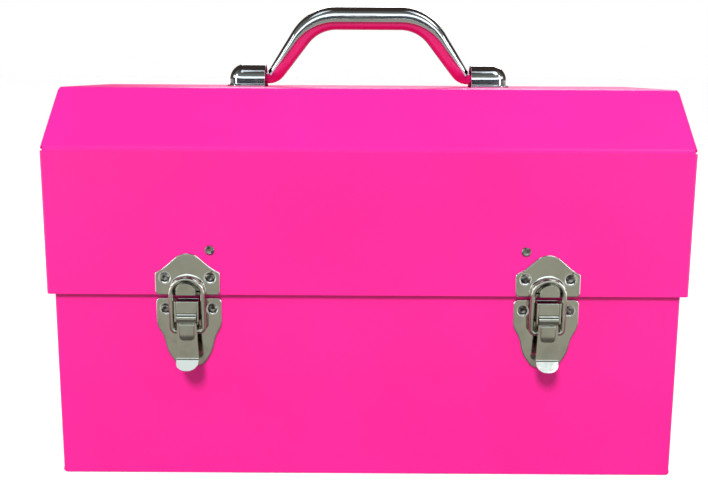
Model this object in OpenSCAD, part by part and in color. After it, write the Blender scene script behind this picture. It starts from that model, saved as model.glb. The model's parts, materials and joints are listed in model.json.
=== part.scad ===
// Riveted sheet-aluminium lunch box: a folded body, a coffered lid on a rear piano
// hinge, two draw latches, a folding handle and two wire bails for a bottle.
// +X is the right-hand end, -Y the front, +Z up. The origin is the middle of the base.

/* [Body] */
// Length of the body over its end flanges
body_l = 349; // [280:1:420]
// Depth of the body over its front and rear walls
body_d = 173; // [150:1:210]
// Height of the seam, which is the lower edge of the lid
seam_z = 106; // [85:1:130]
// Height of the body wall that stands inside the lid
rim_h = 8; // [5:0.5:9]
// Thickness of the sheet
sheet_t = 1.2; // [1:0.1:1.5]
// Inside radius of the long bends
bend_r = 1.4; // [0.8:0.1:3]
// Width of the flanges folded over the end panels
flange_w = 12; // [10:0.5:14]
// Height of the hem folded inwards along the rim
hem_h = 9; // [6:0.5:12]

/* [Lid] */
// Gap between the body and the lid at front and rear
lid_gap = 1.3; // [1.1:0.1:2]
// Gap between the body and the lid at each end
end_gap = 1.1; // [0.9:0.1:2]
// Height of the lid's upright walls
lid_wall_h = 81; // [70:1:110]
// Height of the sloping panels
slope_h = 32; // [24:1:45]
// Run of each sloping panel
slope_run = 36; // [28:1:45]

/* [Hinge] */
// Distance from each end of the body to the piano hinge
hinge_inset = 22.5; // [15:0.5:50]
// Number of knuckles, odd so that both end knuckles are on the body
knuckles = 13; // [9:2:17]
// Outer radius of the knuckles
knuckle_r = 2.3; // [2.1:0.1:2.6]
// Radius of the hinge pin
hinge_pin_r = 1.2; // [1:0.05:1.3]
// Height of each leaf beyond the knuckles
leaf_h = 12; // [11:0.5:14]
// Thickness of the leaves
leaf_t = 0.9; // [0.7:0.1:1]

/* [Latches] */
// Distance from each end of the body to the middle of the latch
latch_inset = 75; // [40:0.5:90]
// Thickness of the latch plates
plate_t = 1.2; // [1:0.1:1.4]
// Distance from the seam down to the lever pin
lever_pin_drop = 11.8; // [11.7:0.1:12.4]
// Radius of the lever pin
lever_pin_r = 1.2; // [1:0.05:1.3]
// Half the distance between the legs of the loop
loop_half_w = 8.7; // [8.6:0.1:9.2]
// Radius of the loop's wire
loop_r = 1.5; // [1.4:0.05:1.5]

/* [Handle] */
// Height of the grip above the roof
grip_h = 49; // [44:1:60]
// Half the length of the flat top of the grip
grip_flat = 20; // [16:1:24]
// Width of the grip, front to rear
grip_w = 14; // [12:0.5:14]
// Depth of the channel's sides at the middle of the grip
channel_h = 9.6; // [8:0.1:10.5]
// Depth of the grip over the channel and the insert
grip_depth = 14; // [12:0.5:16]
// Distance from the middle to the inner face of each cap
cap_x = 64; // [60:0.5:76]
// Length of each cap
cap_l = 22.7; // [21.5:0.1:28]
// Outer radius of the caps
cap_r = 9.5; // [8.5:0.1:11]

/* [Bottle bails] */
// Distance from each end of the body to the bail
bail_inset = 87.5; // [30:0.5:110]
// Height of the bail pivots above the seam
bail_h = 25.3; // [21:0.1:40]
// Distance from a bail's pivots to its crossbar
bail_drop = 10; // [8:0.5:11]
// Radius of the bails' wire
bail_r = 1.5; // [1.2:0.1:1.6]

/* [Fits] */
// Radial clearance of pins, shanks and pivots in their holes
fit = 0.05; // [0.03:0.01:0.08]
// Gap between the loop and the hook while the latch is shut
hook_gap = 0.5; // [0.4:0.05:0.6]

/* [Hidden] */
$fn = 48;

eps = 0.01;
corner_steps = 5;

enamel = [0.98, 0.16, 0.60];
nickel = [0.62, 0.62, 0.58];
bare_metal = [0.78, 0.79, 0.80];
pink_plastic = [0.86, 0.08, 0.38];

// Levels and faces of the two shells
rim_z = seam_z + rim_h;
eave_z = seam_z + lid_wall_h;
roof_z = eave_z + slope_h;
lid_d = body_d + 2 * (lid_gap + sheet_t);
lid_l = body_l + 2 * (end_gap + 2 * sheet_t);
body_front = -body_d / 2;
lid_front = -lid_d / 2;
slope_a = atan(slope_h / slope_run);

// Rivets: shank, head and the flat end formed inside
rivet_r = 1.6;
rivet_head_r = 2.65;
rivet_head_h = 1;
tail_r = 2.5;
tail_h = 0.8;
end_rivet_inset = flange_w / 2;

// Piano hinge
hinge_l = body_l - 2 * hinge_inset;
hinge_y = body_d / 2 + knuckle_r + 0.3;
hinge_z = seam_z - knuckle_r - 0.4;
knuckle_gap = 0.3;
leaf_rivets = 5;
leaf_rivet_z = 9.6;
pin_head_r = 1.9;

// Strike plate, hook and boss on the lid
latch_x = body_l / 2 - latch_inset;
strike_face = lid_front - plate_t;
strike_rivet = [12.5, seam_z + 10];
hook_w = 10.8;
hook_out = 5.6;
hook_foot_z = seam_z + 1.3;
boss_h = 0.7;
boss_r = loop_half_w + 1.6;
boss_rise = 0.9;
dimple_d = 0.5;
strike_dimple_r = 3.4;
base_dimple_r = 3.2;

// Latch base on the body
base_face = body_front - plate_t;
base_top = seam_z - 1.9;
base_rivet = [13, base_top - 6.4];
lever_pin_y = base_face - 5.6;
lever_pin_z = seam_z - lever_pin_drop;
lever_half_w = 5.4;
ear_t = 1.1;
ear_gap = 0.2;
base_ear_x = lever_half_w + ear_gap;
lever_ear_t = 1;
bridge_top = base_top - 0.3;
bridge_h = 7.2;
bridge_t = 3;

// Loop: from its pivot in the lever to the top of its arch
loop_pin_y = lever_pin_y + 1.7;
loop_pin_z = lever_pin_z - 8.2;
loop_top = [lid_front - 4.4, seam_z + 9.9];
loop_l = norm(loop_top - [loop_pin_y, loop_pin_z]);
loop_tilt = atan((loop_pin_y - loop_top[0]) / (loop_top[1] - loop_pin_z));
stub_r = 1.3;

// Lever
lever_t = 1.2;
lever_front = lever_pin_y - 1.7;
lever_knuckle_r = 2.1;
lever_bend_z = lever_pin_z - 23.4;
tab_a = 45;
tab_half_w = 5.4;
tab_l = 7.8;
rib_half_w = 4.3;
rib_h = 0.9;
rib_top = lever_pin_z - 3;
rib_end = lever_pin_z - 12.8;

// Handle: the pivot axis runs along X, inside the caps
pivot_z = roof_z + 4.25;
trunnion_r = 2.75;
neck_r = trunnion_r - 0.2;
grip_z = roof_z + grip_h;
insert_z = grip_z - grip_depth;
side_z = grip_z - channel_h;
strap_t = 1;
grip_r = 32;
side_r = 31.7;
insert_r = 22;
low_r = 6;
insert_low_r = 12;
tongue_z = pivot_z + 4.05;
side_foot_z = pivot_z + 0.8;
// where the straight legs of the strap, the sides and the insert would meet their feet
strap_foot_x = cap_x - 0.8;
side_foot_x = cap_x - 2.7;
insert_foot_x = cap_x - 7.4;
leg_a = leg_angle(grip_z - tongue_z, strap_foot_x - grip_flat, grip_r);
side_a = leg_angle(side_z - side_foot_z, side_foot_x - grip_flat, side_r);
insert_a = leg_angle(insert_z - pivot_z + neck_r, insert_foot_x - grip_flat, insert_r);
taper_x = cap_x - 9;
side_end = cap_x - 2;
foot_half_w = 4.4;
tongue_end = cap_x + 5;
tongue_half_w = 3;
trunnion_end = cap_x + 18;
cap_bore_x = cap_x + 7;
cap_dome_x = cap_x + cap_l - cap_r;
// how far the strap's bend still stands above its tongue at the mouth of a cap
mouth_dx = max(strap_foot_x + low_r * tan(leg_a / 2) - cap_x, 0);
mouth_rise = low_r - sqrt(low_r * low_r - mouth_dx * mouth_dx);
cap_cavity_r = norm([tongue_z - pivot_z + mouth_rise, tongue_half_w]) + 0.15;
cap_flange_t = 1;
cap_rivet = [cap_x + 12, 6.2];

// Bottle bails
bail_x = body_l / 2 - bail_inset;
bail_z = seam_z + bail_h;
stud_r = 2.2;
stud_l = 3.6;
bail_plane = lid_d / 2 - sheet_t - stud_l / 2;

// ---- Outlines -------------------------------------------------------------------

function unit(v) = v / norm(v);

// The arc that replaces corner v, between neighbours a and b, at radius r
function corner(a, v, b, r) = r == 0 ? [v] :
    let (u = unit(a - v), w = unit(b - v), half = acos(u * w) / 2)
    let (c = v + unit(u + w) * r / sin(half))
    let (p = v + u * r / tan(half) - c, q = v + w * r / tan(half) - c)
    let (from = atan2(p[1], p[0]), turn = atan2(q[1], q[0]) - from)
    let (sweep = turn > 180 ? turn - 360 : turn < -180 ? turn + 360 : turn)
    [for (i = [0 : corner_steps])
        let (t = from + sweep * i / corner_steps) c + r * [cos(t), sin(t)]];

// An outline with each corner rounded at its own radius
function rounded(p, r) = let (n = len(p))
    [for (i = [0 : n - 1]) each corner(p[(i + n - 1) % n], p[i], p[(i + 1) % n], r[i])];

function mirrored(half) = concat(half, [for (i = [len(half) - 1 : -1 : 0]) [-half[i][0], half[i][1]]]);

function both_sides(r) = concat(r, [for (i = [len(r) - 1 : -1 : 0]) r[i]]);

// The body's section, set in from its outer face by d and open at the top by more
function body_section(d, more = 0) = let (y = body_d / 2 - d)
    [[-y, d], [y, d], [y, rim_z + more], [-y, rim_z + more]];

// The lid's section, set in from its outer face by d and open at the bottom by more
function lid_section(d, more = 0) = let (y = lid_d / 2 - d)
    let (roof_y = lid_d / 2 - slope_run - d * tan(slope_a / 2))
    let (side_z = eave_z - d * tan((90 - slope_a) / 2))
    [[-y, seam_z - more], [y, seam_z - more], [y, side_z], [roof_y, roof_z - d],
        [-roof_y, roof_z - d], [-y, side_z]];

function body_outline(d, more = 0, r = bend_r) =
    rounded(body_section(d, more), [r, r, 0, 0]);

function lid_outline(d, more = 0, r = bend_r) =
    rounded(lid_section(d, more), [0, 0, r, r, r, r]);

// Slope of a leg that falls h from a shoulder of radius r to a foot at distance run
function leg_angle(h, run, r) = 2 * atan(h / (run + sqrt(run * run - (2 * r - h) * h)));

// Half of a curve that follows the grip: flat, shoulder, leg and the bend into the cap
function grip_curve(top, flat, r, a, bottom, low, end) =
    let (x = flat + r * sin(a), z = top - r * (1 - cos(a)))
    let (cx = x + (z - bottom) / tan(a) + low * tan(a / 2))
    concat([[0, top]],
        [for (i = [0 : 8]) let (t = a * i / 8) [flat + r * sin(t), top - r * (1 - cos(t))]],
        [for (i = [4 : -1 : 0]) let (t = a * i / 4) [cx - low * sin(t), bottom + low * (1 - cos(t))]],
        [[end, bottom]]);

// The outer face of the grip, d further in
function strap_curve(d, end) =
    grip_curve(grip_z - d, grip_flat, grip_r - d, leg_a, tongue_z - d, low_r + d, end);

// Lower edge of the channel's sides
function side_curve() =
    grip_curve(side_z, grip_flat, side_r, side_a, side_foot_z, low_r, cap_x + 1);

// Lower face of the insert
function insert_curve() =
    grip_curve(insert_z, grip_flat, insert_r, insert_a, pivot_z - neck_r, insert_low_r, cap_x + 1);

// Plan of the channel, d further in: full width, narrowing towards the caps
function grip_plan(d, end) = let (w = grip_w / 2 - d, f = foot_half_w - d)
    let (half = [[end, f], [side_end, f], [taper_x, w], [-taper_x, w], [-side_end, f], [-end, f]])
    concat(half, [for (i = [len(half) - 1 : -1 : 0]) [half[i][0], -half[i][1]]]);

// The area between two half curves, with its mirror image
function band(upper, lower) = let (n = len(upper) - 1, m = len(lower) - 1)
    concat([for (i = [n : -1 : 0]) [-upper[i][0], upper[i][1]]], [for (i = [1 : n]) upper[i]],
        [for (i = [m : -1 : 0]) lower[i]], [for (i = [1 : m]) [-lower[i][0], lower[i][1]]]);

module along_x(l) {
    rotate([90, 0, 90]) linear_extrude(l, center = true) children();
}

module along_y(l) {
    rotate([90, 0, 0]) linear_extrude(l, center = true) children();
}

// A plate in the XZ plane whose rear face is at y and whose front face is t nearer
module front_plate(y, t) {
    translate([0, y, 0]) rotate([90, 0, 0]) linear_extrude(t) children();
}

module pair(x = 1) {
    for (s = [-x, x]) scale([s, 1, 1]) children();
}

// An arch of half-width r that stands on z = foot and springs from z = spring
module arch(r, foot, spring) {
    intersection() {
        union() {
            translate([0, spring]) circle(r);
            translate([-r, foot]) square([2 * r, spring - foot]);
        }
        translate([-r, foot]) square([2 * r, spring - foot + r]);
    }
}

// A saw cut of width w from a to b
module slot(a, b, w) {
    n = unit([a[1] - b[1], b[0] - a[0]]) * w / 2;
    polygon([a + n, b + n, b - n, a - n]);
}

// ---- Rivets ---------------------------------------------------------------------

// A rivet along -Z: its domed head stands on z = 0 and it grips sheets of depth grip
module rivet(grip, r = rivet_r, head_r = rivet_head_r, head_h = rivet_head_h) {
    dome = [for (i = [0 : 5]) let (t = 15 * i + 15) [head_r * cos(t - 15), head_h * sin(t)]];
    rotate_extrude()
        polygon(concat(
            [[0, -grip - tail_h], [tail_r - 0.3, -grip - tail_h], [tail_r, -grip - tail_h + 0.3],
            [tail_r, -grip], [r, -grip], [r, 0], [head_r, 0]], dome, [[0, head_h]]));
}

// Rivets at each point p = [across, height] in the face of a wall with this normal
module front_rivets(points, y, grip) {
    for (p = points) translate([p[0], y, p[1]]) rotate([90, 0, 0]) rivet(grip);
}

module rear_rivets(points, y, grip) {
    for (p = points) translate([p[0], y, p[1]]) rotate([-90, 0, 0]) rivet(grip);
}

// Rivets on both ends, at points [y, z]
module end_rivets(points, x, grip) {
    for (s = [-1, 1], p = points)
        translate([s * x, p[0], p[1]]) rotate([0, s * 90, 0]) rivet(grip);
}

module front_holes(points, y, depth, r = rivet_r + fit) {
    for (p = points) translate([p[0], y, p[1]]) rotate([-90, 0, 0])
        translate([0, 0, -eps]) cylinder(r = r, h = depth + 2 * eps);
}

module rear_holes(points, y, depth, r = rivet_r + fit) {
    for (p = points) translate([p[0], y, p[1]]) rotate([90, 0, 0])
        translate([0, 0, -eps]) cylinder(r = r, h = depth + 2 * eps);
}

module end_holes(points, l) {
    for (s = [-1, 1], p = points) translate([s * l / 2, p[0], p[1]]) rotate([0, -s * 90, 0])
        translate([0, 0, -eps]) cylinder(r = rivet_r + fit, h = 2 * sheet_t + 2 * eps);
}

body_rivet_points = let (y = body_d / 2 - end_rivet_inset)
    [for (s = [-1, 1], z = [0.32, 0.72]) [s * y, z * seam_z],
        for (s = [-1, 0, 1]) [s * body_d * 0.3, end_rivet_inset]];
lid_rivet_points = let (y = lid_d / 2 - end_rivet_inset, n = end_rivet_inset)
    [for (s = [-1, 1], z = [0.25, 0.75]) [s * y, seam_z + z * lid_wall_h],
        for (s = [-1, 1]) [s * (lid_d - slope_run - 2 * n * sin(slope_a)) / 2,
            (eave_z + roof_z) / 2 - n * cos(slope_a)],
        for (s = [-1, 1]) [s * (lid_d / 2 - slope_run) * 0.6, roof_z - n]];
leaf_rivet_xs = [for (i = [0 : leaf_rivets - 1]) hinge_l * ((i + 0.5) / leaf_rivets - 0.5)];
body_leaf_points = [for (x = leaf_rivet_xs) [x, hinge_z - leaf_rivet_z]];
lid_leaf_points = [for (x = leaf_rivet_xs) [x, hinge_z + leaf_rivet_z]];
strike_points = [for (s = [-1, 1], t = [-1, 1]) [s * latch_x + t * strike_rivet[0], strike_rivet[1]]];
base_points = [for (s = [-1, 1], t = [-1, 1]) [s * latch_x + t * base_rivet[0], base_rivet[1]]];
bail_points = [for (s = [-1, 1]) [s * bail_x, bail_z]];

// ---- Body -----------------------------------------------------------------------

// Front, floor and rear in one sheet, hemmed along the rim, with flanges at both ends
module body_wrap() {
    inner = body_d / 2 - sheet_t;
    hem_l = body_l - 4 * sheet_t;
    color(enamel) difference() {
        union() {
            along_x(body_l) difference() {
                polygon(body_outline(0, 0, bend_r + sheet_t));
                polygon(body_outline(sheet_t, 1));
            }
            pair() translate([body_l / 2 - sheet_t / 2, 0, 0]) along_x(sheet_t) difference() {
                polygon(body_outline(sheet_t / 2));
                polygon(body_outline(flange_w, 1));
                for (i = [0, 1]) slot(body_section(0)[i], body_section(flange_w + 1)[i], 0.8);
            }
            for (s = [-1, 1])
                translate([-hem_l / 2, s * (inner - sheet_t / 2) - sheet_t / 2, rim_z - hem_h])
                cube([hem_l, sheet_t, hem_h]);
        }
        end_holes(body_rivet_points, body_l);
        front_holes(base_points, body_front, sheet_t);
        rear_holes(body_leaf_points, body_d / 2, sheet_t);
    }
}

// An end of the body, inside the flanges, with its top edge hemmed inwards
module body_end(side) {
    x = body_l / 2 - 1.5 * sheet_t;
    color(enamel) difference() {
        scale([side, 1, 1]) union() {
            translate([x, 0, 0]) along_x(sheet_t) polygon(body_outline(sheet_t + fit));
            translate([x - sheet_t, 0, 0]) along_x(sheet_t + eps) intersection() {
                polygon(body_outline(2 * sheet_t + fit));
                translate([-body_d / 2, rim_z - hem_h]) square([body_d, hem_h]);
            }
        }
        end_holes(body_rivet_points, body_l);
    }
}

module body_end_rivets() {
    color(enamel) end_rivets(body_rivet_points, body_l / 2, 2 * sheet_t);
}

// ---- Lid ------------------------------------------------------------------------

// Front wall, slopes, roof and rear wall in one sheet, with flanges at both ends
module lid_wrap() {
    color(enamel) difference() {
        union() {
            along_x(lid_l) difference() {
                polygon(lid_outline(0, 0, bend_r + sheet_t));
                polygon(lid_outline(sheet_t, 1));
            }
            pair() translate([lid_l / 2 - sheet_t / 2, 0, 0]) along_x(sheet_t) difference() {
                polygon(lid_outline(sheet_t / 2));
                polygon(lid_outline(flange_w, 1));
                for (i = [2 : 5]) slot(lid_section(0)[i], lid_section(flange_w + 1)[i], 0.8);
            }
        }
        end_holes(lid_rivet_points, lid_l);
        front_holes(strike_points, lid_front, sheet_t);
        front_holes(bail_points, lid_front, sheet_t);
        rear_holes(bail_points, lid_d / 2, sheet_t);
        rear_holes(lid_leaf_points, lid_d / 2, sheet_t);
        cap_rivet_holes(roof_z - sheet_t, sheet_t);
    }
}

module lid_end(side) {
    color(enamel) difference() {
        scale([side, 1, 1]) translate([lid_l / 2 - 1.5 * sheet_t, 0, 0]) along_x(sheet_t)
            polygon(lid_outline(sheet_t + fit, -sheet_t - fit));
        end_holes(lid_rivet_points, lid_l);
    }
}

module lid_end_rivets() {
    color(enamel) end_rivets(lid_rivet_points, lid_l / 2, 2 * sheet_t);
}

// ---- Hinge ----------------------------------------------------------------------

// Knuckles first, first + 2, ... joined to a leaf that starts at y and runs up or down
module hinge_leaf(first, y, up) {
    pitch = hinge_l / knuckles;
    strip = knuckle_r + 0.3;
    tab_z = up > 0 ? hinge_pin_r + 0.3 : 0;
    difference() {
        union() {
            translate([-hinge_l / 2, y, hinge_z + (up > 0 ? strip : -leaf_h - strip)])
                cube([hinge_l, leaf_t, leaf_h]);
            for (i = [first : 2 : knuckles - 1])
                translate([-hinge_l / 2 + i * pitch + knuckle_gap / 2, 0, hinge_z]) {
                    translate([0, hinge_y, 0]) rotate([0, 90, 0])
                        cylinder(r = knuckle_r, h = pitch - knuckle_gap);
                    translate([0, y, up > 0 ? tab_z : -strip - eps])
                        cube([pitch - knuckle_gap, leaf_t, strip + eps - tab_z]);
                }
        }
        translate([-hinge_l / 2 - 1, hinge_y, hinge_z]) rotate([0, 90, 0])
            cylinder(r = hinge_pin_r + fit, h = hinge_l + 2);
    }
}

module hinge_leaf_body() {
    color(nickel) difference() {
        hinge_leaf(0, body_d / 2, -1);
        rear_holes(body_leaf_points, body_d / 2 + leaf_t, leaf_t);
    }
}

module hinge_leaf_lid() {
    color(nickel) difference() {
        hinge_leaf(1, lid_d / 2, 1);
        rear_holes(lid_leaf_points, lid_d / 2 + leaf_t, leaf_t);
    }
}

// The pin, with a head peened over each end knuckle
module hinge_pin() {
    l = hinge_l - knuckle_gap;
    color(bare_metal) translate([-l / 2, hinge_y, hinge_z]) rotate([0, 90, 0]) {
        cylinder(r = hinge_pin_r, h = l);
        for (z = [-0.6, l]) translate([0, 0, z]) cylinder(r = pin_head_r, h = 0.6);
    }
}

module hinge_rivets_body() {
    color(bare_metal) rear_rivets(body_leaf_points, body_d / 2 + leaf_t, leaf_t + sheet_t);
}

module hinge_rivets_lid() {
    color(bare_metal) rear_rivets(lid_leaf_points, lid_d / 2 + leaf_t, leaf_t + sheet_t);
}

// ---- Latches --------------------------------------------------------------------

// Half outlines from the middle out, each point with the radius of its corner
strike_half = [[18, 0, 2.5], [18, 12.8, 1.2], [13.5, 15.2, 6]];
strike_apex = [0, 27.1, 10];
base_half = [[7, -39.8, 4], [12.6, -31.5, 6], [14.6, -22.5, 6], [18.3, -16, 5], [18.3, 0, 3.5]];

// Outline at height z over the points of half, its mirror image and, between them, a point
function plate_outline(half, apex, z) =
    let (left = [for (i = [len(half) - 1 : -1 : 0]) [-half[i][0], half[i][1], half[i][2]]])
    let (p = concat(half, apex, left))
    rounded([for (q = p) [q[0], q[1] + z]], [for (q = p) q[2]]);

// The plate on the lid, with a pressed boss and the hook that the loop pulls on
module strike_plate(side) {
    boss_z = loop_top[1] - loop_half_w + boss_rise;
    hook_r = hook_w / 2;
    hook_z = loop_top[1] - loop_r - hook_gap - hook_r;
    color(nickel) difference() {
        translate([side * latch_x, 0, 0]) {
            front_plate(lid_front, plate_t) polygon(plate_outline(strike_half, [strike_apex], seam_z));
            front_plate(strike_face + eps, boss_h + eps) arch(boss_r, seam_z, boss_z);
            front_plate(strike_face + eps, hook_out + eps) arch(hook_r, hook_foot_z, hook_z);
        }
        front_holes(strike_points, strike_face, plate_t);
        front_holes(strike_points, strike_face, dimple_d, strike_dimple_r);
    }
}

module strike_rivets() {
    color(bare_metal) front_rivets(strike_points, strike_face + dimple_d, plate_t - dimple_d + sheet_t);
}

// The plate on the body, with two ears for the lever pin joined by a bridge
module latch_base(side) {
    ear_l = base_face - lever_pin_y + lever_knuckle_r;
    ear_low_z = lever_pin_z - lever_knuckle_r - 0.1;
    color(nickel) difference() {
        translate([side * latch_x, 0, 0]) {
            front_plate(body_front, plate_t) polygon(plate_outline(base_half, [], base_top));
            for (s = [-1, 1]) translate([s * (base_ear_x + ear_t / 2), 0, 0]) along_x(ear_t)
                polygon(rounded([[base_face + eps, bridge_top], [base_face - ear_l, bridge_top],
                    [base_face - ear_l, ear_low_z], [base_face + eps, ear_low_z]], [0, 1, 2, 0]));
            translate([-base_ear_x - eps, base_face - ear_l, bridge_top - bridge_h])
                cube([2 * base_ear_x + 2 * eps, bridge_t, bridge_h - ear_gap]);
        }
        front_holes(base_points, base_face, plate_t);
        front_holes(base_points, base_face, dimple_d, base_dimple_r);
        translate([side * latch_x - 20, lever_pin_y, lever_pin_z]) rotate([0, 90, 0])
            cylinder(r = lever_pin_r + fit, h = 40);
    }
}

module latch_base_rivets() {
    color(bare_metal) front_rivets(base_points, base_face + dimple_d, plate_t - dimple_d + sheet_t);
}

module lever_pin(side) {
    l = 2 * (base_ear_x + ear_t);
    color(bare_metal) translate([side * latch_x - l / 2, lever_pin_y, lever_pin_z]) rotate([0, 90, 0])
        cylinder(r = lever_pin_r, h = l);
}

// The lever: a knuckle on its pin, two ears for the loop, a ribbed plate and a finger tab
module latch_lever(side) {
    ear_x = lever_half_w - lever_ear_t / 2;
    color(nickel) translate([side * latch_x, 0, 0]) difference() {
        union() {
            translate([-lever_half_w, lever_pin_y, lever_pin_z]) rotate([0, 90, 0])
                cylinder(r = lever_knuckle_r, h = 2 * lever_half_w);
            front_plate(lever_front + lever_t, lever_t)
                polygon(mirrored([[lever_half_w, lever_pin_z], [lever_half_w, loop_pin_z],
                    [lever_half_w + 0.8, lever_bend_z]]));
            front_plate(lever_front + eps, rib_h + eps)
                polygon(rounded(mirrored([[rib_half_w, rib_end], [rib_half_w, rib_top]]),
                    both_sides([3, 1])));
            for (s = [-1, 1]) translate([s * ear_x, 0, 0]) along_x(lever_ear_t)
                polygon(rounded([
                    [lever_front + lever_t - eps, lever_pin_z], [loop_pin_y + 1.2, lever_pin_z],
                    [loop_pin_y + 2.2, loop_pin_z - 2.2],
                    [lever_front + lever_t - eps, loop_pin_z - 2.2]],
                    [0, 0, 1.5, 0]));
            translate([0, lever_front + lever_t / 2, lever_bend_z]) rotate([-tab_a, 0, 0])
                front_plate(lever_t / 2, lever_t) {
                    translate([0, tab_half_w - tab_l]) circle(tab_half_w);
                    translate([-tab_half_w - 0.6, tab_half_w - tab_l])
                        square([2 * tab_half_w + 1.2, tab_l - tab_half_w]);
                }
        }
        translate([-10, lever_pin_y, lever_pin_z]) rotate([0, 90, 0])
            cylinder(r = lever_pin_r + fit, h = 20);
        translate([-10, loop_pin_y, loop_pin_z]) rotate([0, 90, 0])
            cylinder(r = stub_r + fit, h = 20);
        // the finger tab ends where its half-round starts, on the outer side of the bend
        translate([-10, lever_front + lever_t, lever_bend_z - 20]) cube([20, 20, 20]);
    }
}

// The loop: an arch of wire on two legs whose turned-in ends sit in the lever's ears
module latch_loop(side) {
    leg = loop_l - loop_half_w;
    color(nickel) translate([side * latch_x, loop_pin_y, loop_pin_z]) rotate([loop_tilt, 0, 0]) {
        translate([0, 0, leg]) rotate([90, 0, 0]) rotate_extrude(angle = 180)
            translate([loop_half_w, 0]) circle(loop_r);
        for (s = [-1, 1]) {
            translate([s * loop_half_w, 0, 0]) cylinder(r = loop_r, h = leg);
            translate([s * loop_half_w, 0, 0]) sphere(loop_r);
            translate([s * loop_half_w, 0, 0]) rotate([0, -s * 90, 0])
                cylinder(r = stub_r, h = loop_half_w - lever_half_w + lever_ear_t + 0.3);
        }
    }
}

// ---- Handle ---------------------------------------------------------------------

// The steel channel over the grip, whose tongues reach into the caps
module handle_channel() {
    color(nickel) union() {
        intersection() {
            along_y(grip_w) polygon(band(strap_curve(0, tongue_end), strap_curve(strap_t, tongue_end)));
            translate([0, 0, roof_z]) linear_extrude(grip_h) union() {
                polygon(grip_plan(0, side_end));
                square(2 * [tongue_end, tongue_half_w], center = true);
            }
        }
        intersection() {
            along_y(grip_w) polygon(band(strap_curve(0, tongue_end), side_curve()));
            translate([0, 0, roof_z]) linear_extrude(grip_h) difference() {
                polygon(grip_plan(0, side_end));
                polygon(grip_plan(strap_t, tongue_end));
            }
        }
    }
}

// The plastic insert under the channel, whose round ends turn in the caps
module handle_insert() {
    half_w = grip_w / 2 - strap_t - fit;
    color(pink_plastic) union() {
        intersection() {
            along_y(grip_w) polygon(band(strap_curve(strap_t + fit, cap_x + 1), insert_curve()));
            along_x(2 * cap_x + 2) polygon(mirrored([[neck_r, roof_z], [neck_r, pivot_z],
                [half_w, pivot_z + 5.5], [half_w, grip_z]]));
            translate([0, 0, roof_z]) linear_extrude(grip_h)
                polygon(grip_plan(strap_t + fit, tongue_end));
        }
        pair() translate([cap_x - 1, 0, pivot_z]) rotate([0, 90, 0])
            cylinder(r = trunnion_r, h = trunnion_end - cap_x + 1);
    }
}

module cap_rivet_holes(z, h) {
    for (s = [-1, 1], t = [-1, 1]) translate([s * cap_rivet[0], t * cap_rivet[1], z - eps])
        cylinder(r = 1.5 + fit, h = h + 2 * eps);
}

// A hooded cap, open towards the grip, with a bore for the insert's round end
module handle_cap(side) {
    color(nickel) scale([side, 1, 1]) difference() {
        union() {
            intersection() {
                union() {
                    translate([cap_x, 0, pivot_z]) rotate([0, 90, 0])
                        cylinder(r = cap_r, h = cap_dome_x - cap_x);
                    translate([cap_dome_x, 0, pivot_z]) sphere(cap_r);
                    translate([cap_x, -cap_r, roof_z])
                        cube([cap_dome_x - cap_x, 2 * cap_r, pivot_z - roof_z]);
                    translate([cap_dome_x, 0, roof_z]) cylinder(r = cap_r, h = pivot_z - roof_z);
                }
                translate([0, -50, roof_z]) cube([200, 100, 50]);
            }
            translate([cap_x, -cap_r - 2, roof_z])
                cube([cap_dome_x - cap_x, 2 * cap_r + 4, cap_flange_t]);
            translate([cap_dome_x, 0, roof_z]) cylinder(r = cap_r + 2, h = cap_flange_t);
        }
        translate([cap_x - 1, 0, pivot_z]) rotate([0, 90, 0])
            cylinder(r = cap_cavity_r, h = cap_bore_x - cap_x + 1);
        translate([cap_x - 1, 0, pivot_z]) rotate([0, 90, 0])
            cylinder(r = trunnion_r + fit, h = trunnion_end + 1 - cap_x + 1);
        cap_rivet_holes(roof_z - 1, 6);
    }
}

// Rivets from inside the roof up into the caps
module handle_cap_rivets() {
    color(bare_metal) for (s = [-1, 1], t = [-1, 1])
        translate([s * cap_rivet[0], t * cap_rivet[1], roof_z - sheet_t]) {
            cylinder(r = 1.5, h = 6);
            translate([0, 0, -tail_h]) cylinder(r = tail_r + 0.3, h = tail_h);
        }
}

// ---- Bottle bails ---------------------------------------------------------------

// Shouldered studs through the front and rear walls; the bails' eyelets turn on them
module bail_studs() {
    color(bare_metal) for (s = [-1, 1], p = bail_points)
        translate([p[0], s * lid_d / 2, p[1]]) rotate([-s * 90, 0, 0])
            rotate_extrude() polygon([[0, -sheet_t - stud_l - 0.8], [3.8, -sheet_t - stud_l - 0.8],
                [3.8, -sheet_t - stud_l], [stud_r, -sheet_t - stud_l], [stud_r, -sheet_t],
                [rivet_r, -sheet_t], [rivet_r, 0], [rivet_head_r, 0], [rivet_head_r, 0.3],
                [rivet_head_r - 0.4, 0.6], [0, 0.6]]);
}

// A wire bail: an eyelet at each end, two short legs and a crossbar from front to rear
module bottle_bail(side) {
    ring_r = stud_r + fit + bail_r;
    color(bare_metal) translate([side * bail_x, 0, bail_z]) {
        for (s = [-1, 1]) translate([0, s * bail_plane, 0]) {
            rotate([90, 0, 0]) rotate_extrude() translate([ring_r, 0]) circle(bail_r);
            translate([0, 0, -bail_drop]) cylinder(r = bail_r, h = bail_drop - ring_r);
            translate([0, 0, -bail_drop]) sphere(bail_r);
        }
        translate([0, bail_plane, -bail_drop]) rotate([90, 0, 0])
            cylinder(r = bail_r, h = 2 * bail_plane);
    }
}

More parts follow.
